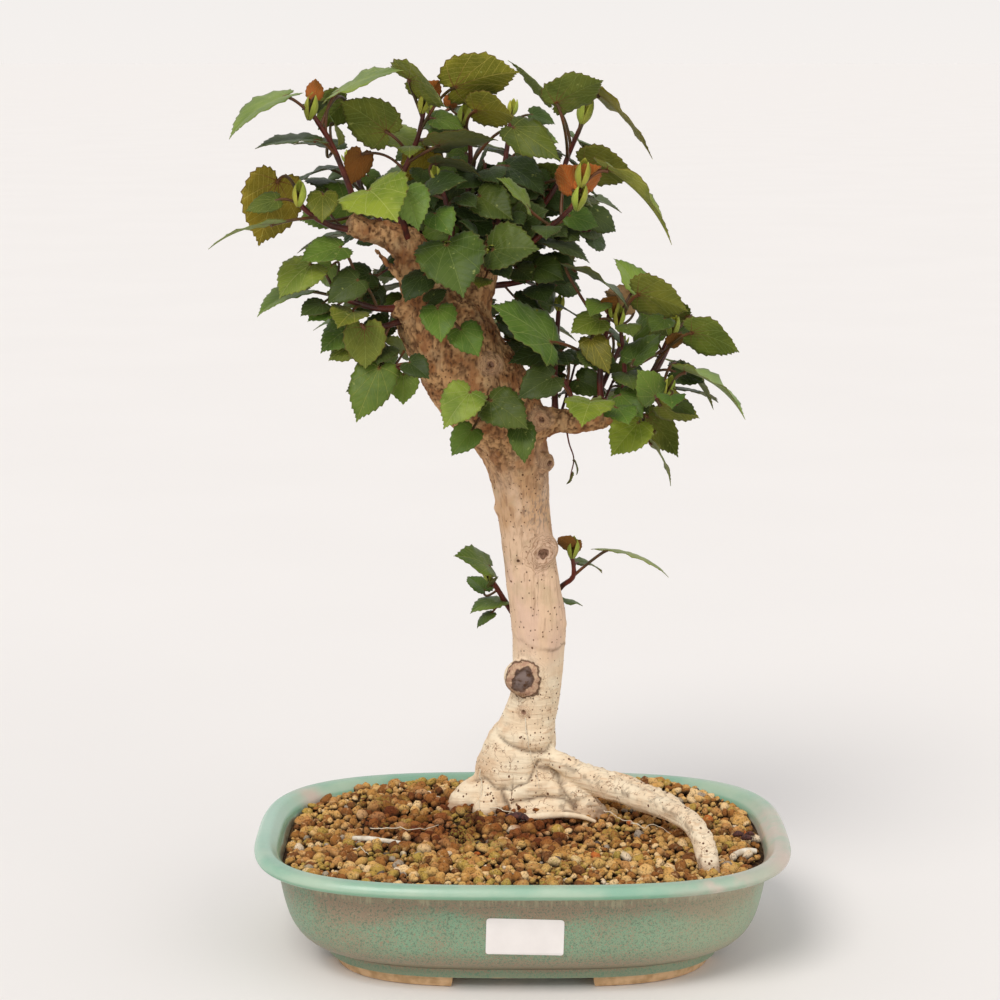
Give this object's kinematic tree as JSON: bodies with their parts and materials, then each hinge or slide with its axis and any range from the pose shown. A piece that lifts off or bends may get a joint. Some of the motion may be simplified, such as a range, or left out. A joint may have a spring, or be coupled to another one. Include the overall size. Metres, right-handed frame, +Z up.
{
  "type": "sea hibiscus bonsai in a clay tray",
  "caption": "Sea hibiscus bonsai with a leaning trunk, surface roots and heart-shaped leaves, planted in granular soil in a rounded, green-glazed clay tray.",
  "frame": {"origin": "on the ground under the middle of the bounding box of the tree and its tray", "axes": "+Z up; +X along the tray, to the right as seen from the front of the tree; the front of the tree faces -Y"},
  "size_m": [0.3082, 0.2458, 0.4836],
  "materials": {
    "glazed_clay": "glossy mottled celadon green glaze with grey and brown patches, bare bisque under the feet",
    "soil": "matt baked clay granules, ochre to brown, with moist, mossy and grey grains",
    "bark": "matt bark, cream and smooth low down, tan and creviced in the crown",
    "leaf": "satin green leaves with pale veins on dark red-brown stalks",
    "paper": "blank white paper with a faint sheen",
    "screen_plastic": "black moulded plastic mesh",
    "dead_root": "bleached, dry root"
  },
  "bodies": {
    "root": {"pot": "glazed_clay", "soil": "soil", "trunk": "bark", "label": "paper", "drain_screen_left": "screen_plastic", "drain_screen_right": "screen_plastic", "root_piece_left": "dead_root", "root_piece_right": "dead_root", "shoot_stub_low": "leaf", "shoot_stub_high": "leaf", "shoot_stub_mid": "leaf", "shoot_front_low": "leaf", "shoot_front_head": "leaf", "shoot_inner_left": "leaf", "shoot_top_mid": "leaf", "shoot_middle_front": "leaf", "shoot_inner_front": "leaf", "shoot_right_main": "leaf", "shoot_right_high": "leaf", "shoot_bough_left": "leaf", "shoot_bough_dark": "leaf", "shoot_bough_mid": "leaf", "shoot_bough_right": "leaf", "shoot_bough_front": "leaf", "shoot_bough_under": "leaf", "shoot_bough_low": "leaf", "shoot_collar_up": "leaf", "shoot_collar_low": "leaf", "shoot_spur_out": "leaf", "shoot_spur_down": "leaf", "shoot_flank": "leaf", "shoot_sprig_left": "leaf", "shoot_sprig_right": "leaf", "shoot_back_low": "leaf", "shoot_back_left": "leaf", "shoot_back_rear": "leaf", "shoot_back_right": "leaf", "shoot_back_stub": "leaf", "shoot_back_top": "leaf", "shoot_inner_top": "leaf", "shoot_inner_right": "leaf", "shoot_back_trunk": "leaf", "shoot_inner_low": "leaf", "shoot_bough_rear": "leaf", "shoot_bough_tip": "leaf", "shoot_bough_inner": "leaf"}
  },
  "joints": []
}
